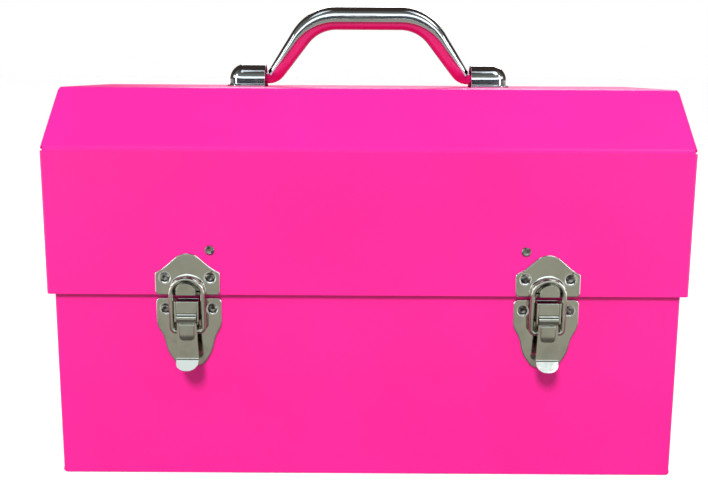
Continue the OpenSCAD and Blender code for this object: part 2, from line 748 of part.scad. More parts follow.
body_wrap();
body_end(-1);  // body_end_left
body_end(1);  // body_end_right
body_end_rivets();
lid_wrap();
lid_end(-1);  // lid_end_left
lid_end(1);  // lid_end_right
lid_end_rivets();
hinge_leaf_body();
hinge_leaf_lid();
hinge_pin();
hinge_rivets_body();
hinge_rivets_lid();
strike_plate(-1);  // strike_plate_left
strike_plate(1);  // strike_plate_right
strike_rivets();
latch_base(-1);  // latch_base_left
latch_base(1);  // latch_base_right
latch_base_rivets();
latch_lever(-1);  // latch_lever_left
latch_lever(1);  // latch_lever_right
lever_pin(-1);  // lever_pin_left
lever_pin(1);  // lever_pin_right
latch_loop(-1);  // latch_loop_left
latch_loop(1);  // latch_loop_right
handle_channel();
handle_insert();
handle_cap(-1);  // handle_cap_left
handle_cap(1);  // handle_cap_right
handle_cap_rivets();
bail_studs();
bottle_bail(-1);  // bottle_bail_left
bottle_bail(1);  // bottle_bail_right
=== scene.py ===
import bpy
import bmesh
import json
from math import atan, cos, pi, radians, sin, sqrt, tan
from mathutils import Matrix, Vector


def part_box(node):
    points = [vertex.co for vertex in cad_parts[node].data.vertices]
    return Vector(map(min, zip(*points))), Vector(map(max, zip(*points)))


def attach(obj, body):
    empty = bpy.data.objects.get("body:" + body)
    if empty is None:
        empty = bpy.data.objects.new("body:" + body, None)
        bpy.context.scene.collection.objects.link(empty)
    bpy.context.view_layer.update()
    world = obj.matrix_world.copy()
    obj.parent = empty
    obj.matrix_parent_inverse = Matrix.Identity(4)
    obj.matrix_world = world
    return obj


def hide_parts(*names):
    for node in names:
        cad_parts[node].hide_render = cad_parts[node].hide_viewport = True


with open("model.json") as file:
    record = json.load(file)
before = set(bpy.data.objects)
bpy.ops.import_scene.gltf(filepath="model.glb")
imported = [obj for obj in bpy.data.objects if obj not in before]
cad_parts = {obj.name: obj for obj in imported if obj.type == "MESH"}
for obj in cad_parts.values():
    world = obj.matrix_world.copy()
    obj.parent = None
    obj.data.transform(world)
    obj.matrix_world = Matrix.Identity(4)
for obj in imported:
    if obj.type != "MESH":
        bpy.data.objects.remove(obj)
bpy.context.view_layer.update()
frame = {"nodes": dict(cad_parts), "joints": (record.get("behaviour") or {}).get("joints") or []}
nodes = frame["nodes"]
mm = 0.001
print("frame loaded:", len(nodes), "nodes")


# ---- measures of the frame ----

def pivot(jointName):
    joint = next(j for j in frame["joints"] if j["name"] == jointName)
    return Vector(joint["pos_m"])


def solidBoxes(nodeName):
    # the lowest and highest corner of each separate solid in a node
    bm = bmesh.new()
    bm.from_mesh(nodes[nodeName].data)
    bmesh.ops.remove_doubles(bm, verts=bm.verts, dist=1e-6)
    left, found = set(bm.verts), []
    while left:
        island, edge = set(), {left.pop()}
        while edge:
            island |= edge
            edge = {e.other_vert(v) for v in edge for e in v.link_edges} - island
        left -= island
        low = Vector([min(v.co[i] for v in island) for i in range(3)])
        high = Vector([max(v.co[i] for v in island) for i in range(3)])
        found.append((low, high))
    bm.free()
    return sorted(found, key=lambda box: tuple(box[0]))


# ---- materials ----

class Wire:
    # a socket that takes part in plain arithmetic
    def __init__(self, finish, socket):
        self.finish, self.socket = finish, socket

    def maths(self, operation, first, second):
        return self.finish.add("ShaderNodeMath", {"operation": operation}, {0: first, 1: second})

    def __add__(self, other): return self.maths("ADD", self, other)
    def __radd__(self, other): return self.maths("ADD", other, self)
    def __rsub__(self, other): return self.maths("SUBTRACT", other, self)
    def __mul__(self, other): return self.maths("MULTIPLY", self, other)


class Finish:
    def __init__(self, name, constants):
        self.material = bpy.data.materials.new(name)
        self.material.use_nodes = True
        self.tree = self.material.node_tree
        self.shader = self.tree.nodes["Principled BSDF"]
        for socket, value in constants.items():
            self.shader.inputs[socket].default_value = value
        place = self.tree.nodes.new("ShaderNodeTexCoord")
        self.place = Wire(self, place.outputs["Object"])

    def plug(self, value, socket):
        if isinstance(value, Wire):
            self.tree.links.new(value.socket, socket)
        else:
            socket.default_value = value

    def add(self, kind, settings, sockets, output=0):
        node = self.tree.nodes.new(kind)
        for key, value in settings.items():
            setattr(node, key, value)
        for key, value in sockets.items():
            self.plug(value, node.inputs[key])
        return Wire(self, node.outputs[output])

    def stretch(self, scale):
        return self.add("ShaderNodeMapping", {}, {"Vector": self.place, "Scale": scale})

    def noise(self, scale, detail=3.0, roughness=0.5, where=None):
        sockets = {"Vector": where or self.place, "Scale": scale, "Detail": detail, "Roughness": roughness}
        return self.add("ShaderNodeTexNoise", {}, sockets)

    def along(self, axis):
        return self.add("ShaderNodeSeparateXYZ", {}, {0: self.place}, axis)

    def ramp(self, value, low, high):
        # 0 below low and 1 above high, with a soft step between
        sockets = {"Value": value, "From Min": low, "From Max": high}
        return self.add("ShaderNodeMapRange", {"interpolation_type": "SMOOTHSTEP"}, sockets)

    def mixColour(self, mask, first, second):
        return self.add("ShaderNodeMix", {"data_type": "RGBA"}, {0: mask, 6: first, 7: second}, 2)

    def bump(self, height, distance, strength=1.0, under=None):
        sockets = {"Height": height, "Distance": distance, "Strength": strength}
        if under:
            sockets["Normal"] = under
        return self.add("ShaderNodeBump", {}, sockets)

    def feed(self, **inputs):
        names = {"colour": "Base Color", "roughness": "Roughness", "normal": "Normal", "coat": "Coat Weight"}
        for key, value in inputs.items():
            self.plug(value, self.shader.inputs[names[key]])
        return self.material


enamelLook = {
    "colour": (0.93, 0.017, 0.300, 1), "deep": (0.82, 0.010, 0.240, 1),
    "peelScale": 720, "peelHeight": 0.000010, "waveScale": 9, "waveHeight": 0.00030,
}


def enamelFinish():
    # gloss powder coat: orange peel, faint waves of thin sheet and slightly uneven gloss
    look = enamelLook
    finish = Finish("pinkEnamel", {"Coat Roughness": 0.12, "Coat IOR": 1.45, "IOR": 1.45,
                                   "Specular IOR Level": 0.4})
    patches = finish.ramp(finish.noise(14, 4), 0.35, 0.7)
    specks = finish.ramp(finish.noise(1500, 2), 0.60, 0.78)
    colour = finish.mixColour(patches * 0.3 + specks * 0.25, look["colour"], look["deep"])
    waves = finish.bump(finish.noise(look["waveScale"], 1), look["waveHeight"])
    peel = finish.bump(finish.noise(look["peelScale"], 2), look["peelHeight"], under=waves)
    smears = finish.noise(38, 5, 0.6)
    return finish.feed(colour=colour, normal=peel, roughness=0.30 + smears * 0.14, coat=0.12 + patches * 0.10)


nickelLook = {
    # rim is the colour of a painted highlight along the plates' rounded rims
    "bright": (0.56, 0.57, 0.50, 1), "dull": (0.40, 0.41, 0.355, 1), "rim": (0.93, 0.94, 0.92, 1),
    "scratchScale": 260, "scratchHeight": 0.000006,
}


def nickelFinish(name, face=None):
    # smoky bright nickel over pressed steel, with hairline polish marks and a few dull patches;
    # what lies behind a plate's face is its rim, given a brighter colour as a painted highlight
    look = nickelLook
    finish = Finish(name, {"Metallic": 1.0, "IOR": 1.9})
    hairs = finish.noise(look["scratchScale"], 4, 0.7, finish.stretch((14, 14, 1)))
    dull = finish.ramp(finish.noise(95, 4), 0.45, 0.75)
    pits = finish.ramp(finish.noise(1900, 2), 0.66, 0.8)
    colour = finish.mixColour(dull * 0.55 + pits * 0.35, look["bright"], look["dull"])
    if face:
        # painted highlight: the rounded rim and sides behind the plate's face take the bright rim colour
        behind = finish.ramp(finish.along(1), face + 0.1 * mm, face + 0.3 * mm)
        colour = finish.mixColour(behind, colour, look["rim"])
    pressed = finish.bump(finish.noise(120, 2), 0.00012)
    normal = finish.bump(hairs, look["scratchHeight"], under=pressed)
    return finish.feed(colour=colour, normal=normal, roughness=0.07 + hairs * 0.06 + dull * 0.08)


chromeLook = {"bright": (0.66, 0.69, 0.70, 1), "smeared": (0.48, 0.49, 0.49, 1)}


def chromeFinish():
    # smoother, bluer plate of the handle
    look = chromeLook
    finish = Finish("handleChrome", {"Metallic": 1.0, "IOR": 2.2})
    hairs = finish.noise(180, 4, 0.7, finish.stretch((1, 16, 16)))
    smears = finish.ramp(finish.noise(60, 5), 0.4, 0.8)
    colour = finish.mixColour(smears * 0.6, look["bright"], look["smeared"])
    normal = finish.bump(hairs, 0.000004, under=finish.bump(finish.noise(70, 2), 0.00015))
    return finish.feed(colour=colour, normal=normal, roughness=0.05 + smears * 0.07 + hairs * 0.04)


rivetLook = {"clean": (0.34, 0.34, 0.31, 1), "stained": (0.07, 0.065, 0.055, 1)}


def rivetFinish():
    # bare rivets, dull and dark from the press
    look = rivetLook
    finish = Finish("bareRivet", {"Metallic": 1.0, "IOR": 1.6})
    grain = finish.noise(900, 4, 0.6)
    stain = finish.ramp(finish.noise(420, 3), 0.38, 0.62)
    colour = finish.mixColour(stain, look["clean"], look["stained"])
    return finish.feed(colour=colour, normal=finish.bump(grain, 0.00006), roughness=0.20 + grain * 0.18)


wireLook = {"bright": (0.62, 0.62, 0.61, 1), "drawn": (0.38, 0.37, 0.36, 1)}


def wireFinish():
    # drawn steel wire, with marks along and across it
    look = wireLook
    finish = Finish("steelWire", {"Metallic": 1.0, "IOR": 2.0})
    drawn = finish.noise(300, 4, 0.6, finish.stretch((9, 1, 9)))
    colour = finish.mixColour(finish.ramp(drawn, 0.3, 0.8), look["bright"], look["drawn"])
    return finish.feed(colour=colour, normal=finish.bump(drawn, 0.00001), roughness=0.22 + drawn * 0.15)


plasticLook = {"colour": (0.58, 0.008, 0.135, 1), "worn": (0.48, 0.006, 0.110, 1)}


def plasticFinish():
    # glossy deep pink moulding with a fine mould grain and a little handling wear
    look = plasticLook
    finish = Finish("gripPlastic", {"IOR": 1.49, "Coat Roughness": 0.12, "Specular IOR Level": 0.45})
    grain = finish.noise(1100, 3)
    worn = finish.ramp(finish.noise(75, 4), 0.45, 0.75)
    colour = finish.mixColour(worn * 0.5, look["colour"], look["worn"])
    return finish.feed(colour=colour, normal=finish.bump(grain, 0.00001), roughness=0.26 + worn * 0.12,
                       coat=0.3)


bodyLow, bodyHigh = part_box("body_wrap")
lidLow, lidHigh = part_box("lid_wrap")
plateDepth = 1.2 * mm
strikeFace = lidLow.y - plateDepth
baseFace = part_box("latch_base_left")[1].y - plateDepth
enamel = enamelFinish()
nickel = nickelFinish("nickelPlate")
# these two carry the painted rim highlight behind their plates' faces
strikeNickel = nickelFinish("strikeNickel", strikeFace)
baseNickel = nickelFinish("baseNickel", baseFace)
chrome = chromeFinish()
bareMetal = rivetFinish()
steelWire = wireFinish()
gripPlastic = plasticFinish()
dict.fromkeys((nickel, strikeNickel, baseNickel, chrome), "nickel_plate")


# ---- making pieces ----

def piece(name, bm, material, body, replaced, thick=0.0, edge=0.0, edgeSteps=2, edgeAngle=35):
    # a finished mesh that rides on a body and stands for CAD nodes; thick turns a surface into sheet
    bmesh.ops.remove_doubles(bm, verts=bm.verts, dist=1e-6)
    bmesh.ops.recalc_face_normals(bm, faces=bm.faces)
    mesh = bpy.data.meshes.new(name)
    bm.to_mesh(mesh)
    bm.free()
    for face in mesh.polygons:
        face.use_smooth = True
    made = bpy.data.objects.new(name, mesh)
    bpy.context.scene.collection.objects.link(made)
    mesh.materials.append(material)
    if thick:
        sheet = made.modifiers.new("sheet", "SOLIDIFY")
        sheet.thickness, sheet.offset, sheet.use_even_offset = thick, -1, True
    dressEdges(made, edge, edgeSteps, edgeAngle)
    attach(made, body)
    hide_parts(*replaced)
    return made


def dressEdges(made, edge, edgeSteps=2, edgeAngle=35):
    if edge:
        rounding = made.modifiers.new("edges", "BEVEL")
        rounding.width, rounding.segments = edge, edgeSteps
        rounding.limit_method, rounding.angle_limit = "ANGLE", radians(edgeAngle)
        rounding.harden_normals = False
    shading = made.modifiers.new("shading", "WEIGHTED_NORMAL")
    shading.keep_sharp, shading.weight = True, 80


def keepNode(nodeName, material, edge=0.0):
    # a CAD node that stays, with its own finish and softened edges
    node = nodes[nodeName]
    node.data.materials.clear()
    node.data.materials.append(material)
    weld = node.modifiers.new("weld", "WELD")
    weld.merge_threshold = 1e-6
    if edge:
        flats = node.modifiers.new("flats", "DECIMATE")
        flats.decimate_type, flats.angle_limit = "DISSOLVE", radians(0.5)
    for face in node.data.polygons:
        face.use_smooth = True
    dressEdges(node, edge)


def vertsOf(geom):
    return [v for v in geom if isinstance(v, bmesh.types.BMVert)]


def edgesOf(geom):
    return [e for e in geom if isinstance(e, bmesh.types.BMEdge)]


def drawEdges(bm, edges, vec):
    # extrudes edges by vec; gives the new edges and verts
    drawn = bmesh.ops.extrude_edge_only(bm, edges=edges)["geom"]
    bmesh.ops.translate(bm, verts=vertsOf(drawn), vec=vec)
    return edgesOf(drawn), vertsOf(drawn)


def bevel(bm, geom, offset, steps, affect="EDGES"):
    bmesh.ops.bevel(bm, geom=geom, offset=offset, offset_type="OFFSET", segments=steps, profile=0.5,
                    affect=affect, material=-1, clamp_overlap=True)


def slab(corners, cuts, depth, steps=6):
    # an outline in the XZ plane with its corners rounded back by their cuts, drawn out towards -Y
    bm = bmesh.new()
    verts = [bm.verts.new((x, 0, z)) for x, z in corners]
    bm.faces.new(verts)
    for distance in sorted(set(cuts) - {0}):
        bevel(bm, [v for v, cut in zip(verts, cuts) if cut == distance], distance, steps, "VERTICES")
    drawn = bmesh.ops.extrude_face_region(bm, geom=bm.faces[:])["geom"]
    bmesh.ops.translate(bm, verts=vertsOf(drawn), vec=(0, -depth, 0))
    bmesh.ops.recalc_face_normals(bm, faces=bm.faces)
    return bm


def roundEdges(bm, keep, offset, steps=3):
    # rounds the edges that keep() picks
    bevel(bm, [e for e in bm.edges if keep(e)], offset, steps)


def join(bm, other, matrix=Matrix.Identity(4)):
    # adds another bmesh, moved by matrix
    mesh = bpy.data.meshes.new("part")
    bmesh.ops.transform(other, matrix=matrix, verts=other.verts)
    other.to_mesh(mesh)
    other.free()
    bm.from_mesh(mesh)
    bpy.data.meshes.remove(mesh)


def turned(profile, steps=32):
    # a solid of revolution about Z from (radius, height) points
    bm = bmesh.new()
    verts = [bm.verts.new((r, 0, h)) for r, h in profile]
    edges = [bm.edges.new(pair) for pair in zip(verts, verts[1:])]
    bmesh.ops.spin(bm, geom=verts + edges, axis=(0, 0, 1), cent=(0, 0, 0), angle=2 * pi, steps=steps,
                   use_merge=True)
    bmesh.ops.remove_doubles(bm, verts=bm.verts, dist=1e-7)
    bmesh.ops.recalc_face_normals(bm, faces=bm.faces)
    return bm


def block(low, high, edge=0.0, steps=2):
    bm = bmesh.new()
    bmesh.ops.create_cube(bm, size=1)
    low, high = Vector(low), Vector(high)
    place = Matrix.Translation((low + high) / 2) @ Matrix.Diagonal((*(high - low), 1))
    bmesh.ops.transform(bm, matrix=place, verts=bm.verts)
    if edge:
        roundEdges(bm, lambda e: True, edge, steps)
    return bm


def carve(bm, cutters):
    # cuts each cutter out of bm
    def asObject(source, name):
        mesh = bpy.data.meshes.new(name)
        source.to_mesh(mesh)
        made = bpy.data.objects.new(name, mesh)
        bpy.context.scene.collection.objects.link(made)
        return made
    work, tool = asObject(bm, "work"), asObject(cutters, "tool")
    cut = work.modifiers.new("cut", "BOOLEAN")
    cut.operation, cut.solver, cut.object = "DIFFERENCE", "EXACT", tool
    result = bpy.data.meshes.new_from_object(work.evaluated_get(bpy.context.evaluated_depsgraph_get()))
    bm.clear()
    bm.from_mesh(result)
    for made in (work, tool):
        mesh = made.data
        bpy.data.objects.remove(made)
        bpy.data.meshes.remove(mesh)
    bpy.data.meshes.remove(result)
    cutters.free()


# ---- folded sheet shells ----

shell = {
    "thick": 1.2 * mm, "bend": 1.5 * mm, "fold": 1.9 * mm, "flange": 12 * mm, "mitre": 0.5 * mm,
    "hem": 8.4 * mm, "edge": 0.25 * mm, "endEdge": 0.2 * mm, "slopeTurn": 45, "roofHalf": 53 * mm,
    "eave": 187 * mm,
}


def foldedShell(section, halfLength, hemmed):
    # a sheet bent along its section, with a flange folded in at both ends of each panel
    bm = bmesh.new()
    reach, rimZ = halfLength - shell["fold"], section[0][1]
    verts = [bm.verts.new((-reach, y, z)) for y, z in section]
    drawEdges(bm, [bm.edges.new(pair) for pair in zip(verts, verts[1:])], (2 * reach, 0, 0))

    def lengthwise(edge):
        return abs(edge.verts[0].co.x - edge.verts[1].co.x) > reach
    if hemmed:
        for rim in [e for e in bm.edges if e.is_boundary and lengthwise(e)]:
            rollHem(bm, rim)
    ceiling = rimZ if hemmed else rimZ + 1  # a hem's own folds aren't rounded again
    inner = [e for e in bm.edges if len(e.link_faces) == 2 and e.calc_face_angle(0) > radians(20)
             and lengthwise(e) and max(v.co.z for v in e.verts) < ceiling]
    bevel(bm, inner, shell["bend"], 5)
    centre = Vector((0, 0, sum(z for y, z in section) / len(section)))
    for side in (-1, 1):
        ends = [e for e in bm.edges if e.is_boundary and e.calc_length() > 15 * mm
                and all(abs(v.co.x - side * reach) < 1e-6 for v in e.verts)]
        for end in ends:
            foldFlange(bm, end, side, centre, rimZ)
    return bm


def rollHem(bm, rim):
    # folds the rim inwards and down, back against the wall
    thick, place = shell["thick"], rim.verts[0].co
    inward = -1 if place.y > 0 else 1
    spun = bmesh.ops.spin(bm, geom=[rim] + list(rim.verts), axis=(1, 0, 0), angle=-inward * pi, steps=6,
                          cent=(0, place.y + inward * thick * 1.05, place.z - thick))
    drawEdges(bm, edgesOf(spun["geom_last"]), (0, 0, -shell["hem"] + thick))


def foldFlange(bm, end, side, centre, rimZ):
    # turns an end in by a quarter, then mitres it wherever it meets the next panel's flange
    along = (end.verts[1].co - end.verts[0].co).normalized()
    inward = along.cross(Vector((1, 0, 0))).normalized()
    middle = (end.verts[0].co + end.verts[1].co) / 2
    if inward.dot(centre - middle) < 0:
        inward.negate()
    spun = bmesh.ops.spin(bm, geom=[end] + list(end.verts), axis=Vector((side, 0, 0)).cross(inward),
                          angle=pi / 2, steps=5, cent=middle + inward * shell["fold"])
    depth = shell["flange"] - shell["fold"]
    for tip in drawEdges(bm, edgesOf(spun["geom_last"]), inward * depth)[1]:
        if abs(tip.co.z - rimZ) > 4 * mm:
            toMiddle = along if (middle - tip.co).dot(along) > 0 else -along
            mitre = tan(radians(shell["slopeTurn"] / 2)) if tip.co.z > centre.z else 1
            tip.co += toMiddle * (mitre * depth + shell["mitre"])


roofHalf, eave = shell["roofHalf"], shell["eave"]
bodySection = [(bodyLow.y, bodyHigh.z), (bodyLow.y, bodyLow.z),
               (bodyHigh.y, bodyLow.z), (bodyHigh.y, bodyHigh.z)]
bodyShell = foldedShell(bodySection, bodyHigh.x, True)
piece("bodyShell", bodyShell, enamel, "body", ["body_wrap"], shell["thick"], shell["edge"])

lidSection = [(lidLow.y, lidLow.z), (lidLow.y, eave), (-roofHalf, lidHigh.z), (roofHalf, lidHigh.z),
              (lidHigh.y, eave), (lidHigh.y, lidLow.z)]
lidShell = foldedShell(lidSection, lidHigh.x, False)
piece("lidShell", lidShell, enamel, "lid", ["lid_wrap"], shell["thick"], shell["edge"])

for nodeName in ("body_end_left", "body_end_right", "lid_end_left", "lid_end_right"):
    keepNode(nodeName, enamel, shell["endEdge"])
print("shells folded")


# ---- rivets ----

rivet = {
    "steps": 28, "headHeight": 1.0 * mm, "dish": 0.55 * mm, "tailRadius": 2.5 * mm, "tailHeight": 0.8 * mm,
}


def rivetShape(headRadius, grip, dish=0.0):
    # a domed or dished head on z = 0, with a flat end beyond the sheets that it grips
    tall, tailRadius, tailHeight = rivet["headHeight"], rivet["tailRadius"], rivet["tailHeight"]
    crown = [(headRadius * cos(t), tall * sin(t)) for t in [radians(90 - 15 * i) for i in range(6)]]
    if dish:
        hollow = [(0, tall - dish), (headRadius * 0.3, tall - dish * 0.9), (headRadius * 0.5, tall * 0.9)]
        crown = hollow + crown[3:]
    head = crown + [(headRadius, 0.12 * mm), (headRadius * 0.94, 0)]
    shank = [(headRadius * 0.6, 0), (headRadius * 0.6, -grip)]
    tail = [(tailRadius, -grip), (tailRadius, -grip - tailHeight * 0.6),
            (tailRadius * 0.8, -grip - tailHeight), (0, -grip - tailHeight)]
    return turned(head + shank + tail, rivet["steps"])


def rivetGroup(name, node, material, body, direction=None, dish=0.0):
    # one rivet at each solid of the CAD node, its head towards direction, or outwards along X
    bm = bmesh.new()
    for low, high in solidBoxes(node):
        middle, size = (low + high) / 2, high - low
        facing = Vector(direction or (1 if middle.x > 0 else -1, 0, 0))
        axis = max(range(3), key=lambda i: abs(facing[i]))
        grip = size[axis] - rivet["headHeight"] - rivet["tailHeight"]
        shape = rivetShape(size[(axis + 1) % 3] / 2, grip, dish)
        top = Matrix.Translation(middle + facing * (size[axis] / 2 - rivet["headHeight"]))
        join(bm, shape, top @ Vector((0, 0, 1)).rotation_difference(facing).to_matrix().to_4x4())
    return piece(name, bm, material, body, [node])


rivetGroup("bodyEndRivets", "body_end_rivets", enamel, "body")
rivetGroup("lidEndRivets", "lid_end_rivets", enamel, "lid")
rivetGroup("hingeRivetsBody", "hinge_rivets_body", bareMetal, "body", (0, 1, 0))
rivetGroup("hingeRivetsLid", "hinge_rivets_lid", bareMetal, "lid", (0, 1, 0))
rivetGroup("strikeRivets", "strike_rivets", bareMetal, "lid", (0, -1, 0), rivet["dish"])
rivetGroup("baseRivets", "latch_base_rivets", bareMetal, "body", (0, -1, 0), rivet["dish"])
print("rivets set")


# ---- latches ----

latch = {
    "plateEdge": 0.8 * mm, "dimple": 3.9 * mm, "baseDimple": 3.705 * mm, "dimpleDepth": 0.6 * mm,
    "rivetClear": 4.4 * mm, "baseTop": 1.9 * mm, "bossHalf": 10.3 * mm, "bossTop": 12.4 * mm,
    "bossStep": 0.45 * mm, "bossHeight": 0.7 * mm, "bossSlope": 2.6 * mm, "hookHalf": 5.4 * mm,
    "hookFoot": 1.3 * mm, "hookTop": 7.9 * mm, "hookEdge": 1.1 * mm, "sunk": 0.2 * mm,
    # half outlines as x, height in mm and the cut of the corner: from the lid's edge, and from the base's top
    "strikeHalf": [(18, 0, 2.2), (18, 12.8, 1.0), (13.5, 15.2, 2.2), (0, 27.1, 8.6)],
    "baseHalf": [(7, -39.8, 3), (12.6, -31.5, 3), (14.6, -22.5, 2.5), (18.3, -16, 2.5), (18.3, 0, 2.8)],
    "earIn": 5.6 * mm, "earOut": 6.7 * mm, "earDrop": 2.2 * mm, "earEdge": 0.35 * mm, "bridgeHalf": 5.7 * mm,
    "bridgeTop": 0.3 * mm, "bridgeHeight": 7.2 * mm, "bridgeThick": 3 * mm, "bridgeEdge": 0.7 * mm,
}


def plateFrom(half, foot):
    # the plate with its back on y = 0, from half its outline above a foot height
    corners = half + [(-x, z, cut) for x, z, cut in reversed(half) if x]
    points = [(x * mm, foot + z * mm) for x, z, cut in corners]
    return slab(points, [cut * mm for x, z, cut in corners], plateDepth)


def dressPlate(bm, face, spots, radius):
    # moves a plate to its face, countersinks it at the rivets and rounds the rest of its rim
    bmesh.ops.translate(bm, verts=bm.verts, vec=(0, face + plateDepth, 0))
    depth, wide = latch["dimpleDepth"], radius * 1.02
    cutters = bmesh.new()
    for x, z in spots:
        cone = turned([(0, -depth), (radius * 0.72, -depth), (wide, 0.02 * mm), (wide, 2 * mm), (0, 2 * mm)])
        join(cutters, cone, Matrix.Translation((x, face, z)) @ Matrix.Rotation(radians(90), 4, "X"))
    carve(bm, cutters)

    def onRim(edge):
        return edge.is_manifold and edge.calc_face_angle(0) > radians(50) and all(
            v.co.y < face + 1e-6 and
            all(Vector((v.co.x - x, v.co.z - z)).length > latch["rivetClear"] for x, z in spots)
            for v in edge.verts)
    roundEdges(bm, onRim, latch["plateEdge"], 2)


def archSlab(half, foot, top, depth, edge, steps):
    # an arch that stands on foot, with its front edge rounded
    spring = top - half
    corners = [(half, foot), (half, spring), (half, top), (-half, top), (-half, spring), (-half, foot)]
    bm = slab(corners, [0, 0, half * 0.999, half * 0.999, 0, 0], depth, 10)
    bmesh.ops.remove_doubles(bm, verts=bm.verts, dist=1e-6)
    bmesh.ops.recalc_face_normals(bm, faces=bm.faces)
    roundEdges(bm, lambda e: all(v.co.y < -depth + 1e-6 for v in e.verts), edge, steps)
    return bm


def strikePlate(name, node, x, spots):
    # the plate on the lid, its pressed boss with a sloping shoulder, and the hook
    low, face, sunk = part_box(node)[0], strikeFace, latch["sunk"]
    bm = plateFrom(latch["strikeHalf"], low.z)
    dressPlate(bm, face, [(sx - x, sz) for sx, sz in spots], latch["dimple"])
    boss = archSlab(latch["bossHalf"], low.z + 0.1 * mm, low.z + latch["bossTop"], latch["bossStep"],
                    0.2 * mm, 2)
    crown = [f for f in boss.faces if f.normal.y < -0.99 and f.calc_area() > 20 * mm * mm]
    bmesh.ops.inset_region(boss, faces=crown, thickness=latch["bossSlope"], use_even_offset=True)
    raised = list({v for f in crown for v in f.verts})
    bmesh.ops.translate(boss, verts=raised, vec=(0, -latch["bossHeight"], 0))
    hook = archSlab(latch["hookHalf"], low.z + latch["hookFoot"], low.z + latch["hookTop"],
                    face + sunk - low.y, latch["hookEdge"], 5)
    for pressed in (boss, hook):
        join(bm, pressed, Matrix.Translation((0, face + sunk, 0)))
    bmesh.ops.translate(bm, verts=bm.verts, vec=(x, 0, 0))
    return piece(name, bm, strikeNickel, "lid", [node])


def latchBase(name, node, x, spots, pin):
    # the plate on the body, two ears and the bridge between them
    low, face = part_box(node)[0], baseFace
    plateTop = lidLow.z - latch["baseTop"]
    bm = plateFrom(latch["baseHalf"], plateTop)
    dressPlate(bm, face, [(sx - x, sz) for sx, sz in spots], latch["baseDimple"])
    top, across = plateTop - latch["bridgeTop"], latch["bridgeHalf"]
    for side in (-1, 1):
        ear = block((latch["earIn"], low.y, pin.z - latch["earDrop"]),
                    (latch["earOut"], face + 0.3 * mm, top), latch["earEdge"], 3)
        join(bm, ear, Matrix.Diagonal((side, 1, 1, 1)))
    bridge = block((-across, low.y, top - latch["bridgeHeight"]), (across, low.y + latch["bridgeThick"], top),
                   latch["bridgeEdge"], 4)
    join(bm, bridge)
    bmesh.ops.translate(bm, verts=bm.verts, vec=(x, 0, 0))
    return piece(name, bm, baseNickel, "body", [node])


# heights here are drops below the lever's pin
lever = {
    "half": 5.4 * mm, "thick": 1.1 * mm, "knuckle": 2.05 * mm, "forward": 1.7 * mm, "shoulder": 3.0 * mm,
    "waist": 12 * mm, "bend": 22.2 * mm, "bendRadius": 2.2 * mm, "tabTurn": 45, "tabLength": 6.65 * mm,
    "tabRound": 5.6 * mm, "flareFrom": 8 * mm, "flareOver": 12.6 * mm, "flare": 0.145, "ribHalf": 4.2 * mm,
    "ribTop": 3.1 * mm, "ribEnd": 12.8 * mm, "ribHeight": 0.9 * mm, "ribEdge": 0.8 * mm, "ribFall": 8.2 * mm,
    "ribFallOver": 4.6 * mm, "ribSink": 0.62, "ribCuts": (8.4, 9.4, 10.3, 11.1, 11.8, 12.4), "sunk": 0.3 * mm,
    "earIn": 4.4 * mm, "earReach": 2.1 * mm, "earEdge": 0.4 * mm, "edge": 0.18 * mm,
}


def leverRib(pin):
    # a raised pad whose lower end falls away in a curve
    half, top, end = lever["ribHalf"], pin.z - lever["ribTop"], pin.z - lever["ribEnd"]
    depth = lever["ribHeight"] + lever["sunk"]
    corners = [(half, end), (half, top), (-half, top), (-half, end)]
    rib = slab(corners, [2.4 * mm, 0.8 * mm, 0.8 * mm, 2.4 * mm], depth)
    roundEdges(rib, lambda e: all(v.co.y < -depth + 1e-6 for v in e.verts), lever["ribEdge"], 4)
    for cut in lever["ribCuts"]:
        bmesh.ops.bisect_plane(rib, geom=rib.verts[:] + rib.edges[:] + rib.faces[:], dist=1e-7,
                               plane_co=(0, 0, pin.z - cut * mm), plane_no=(0, 0, 1))
    for vert in rib.verts:
        fall = min(max((pin.z - lever["ribFall"] - vert.co.z) / lever["ribFallOver"], 0), 1)
        vert.co.y *= 1 - lever["ribSink"] * fall * fall
    return rib


